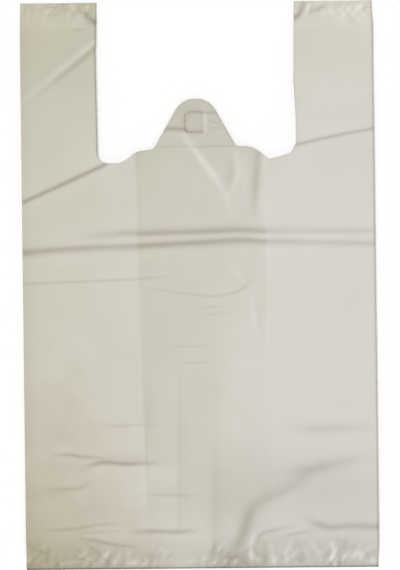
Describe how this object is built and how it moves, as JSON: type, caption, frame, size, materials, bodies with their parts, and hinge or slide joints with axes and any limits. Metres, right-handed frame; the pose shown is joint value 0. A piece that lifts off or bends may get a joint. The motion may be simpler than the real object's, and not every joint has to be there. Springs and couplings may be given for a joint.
{
  "type": "plastic carrier bag",
  "caption": "Vest carrier bag of thin milky plastic film, lying flat and empty, with gusseted sides, loop handles, a hanging tab between them and creases from packing.",
  "frame": {"origin": "under the middle of the bag, on the surface that it lies on", "axes": "+X across the bag to its right as seen from the front, +Y up the bag from the bottom weld to the handle tops, +Z out of the front panel"},
  "size_m": [0.3, 0.48, 0.0082],
  "materials": {
    "film": "milky off-white polyethylene film with a soft sheen, fine crinkle and sharp packing creases, paler where the gusset plies lie behind it"
  },
  "bodies": {
    "root": {"carrier_bag": "film"}
  },
  "joints": []
}
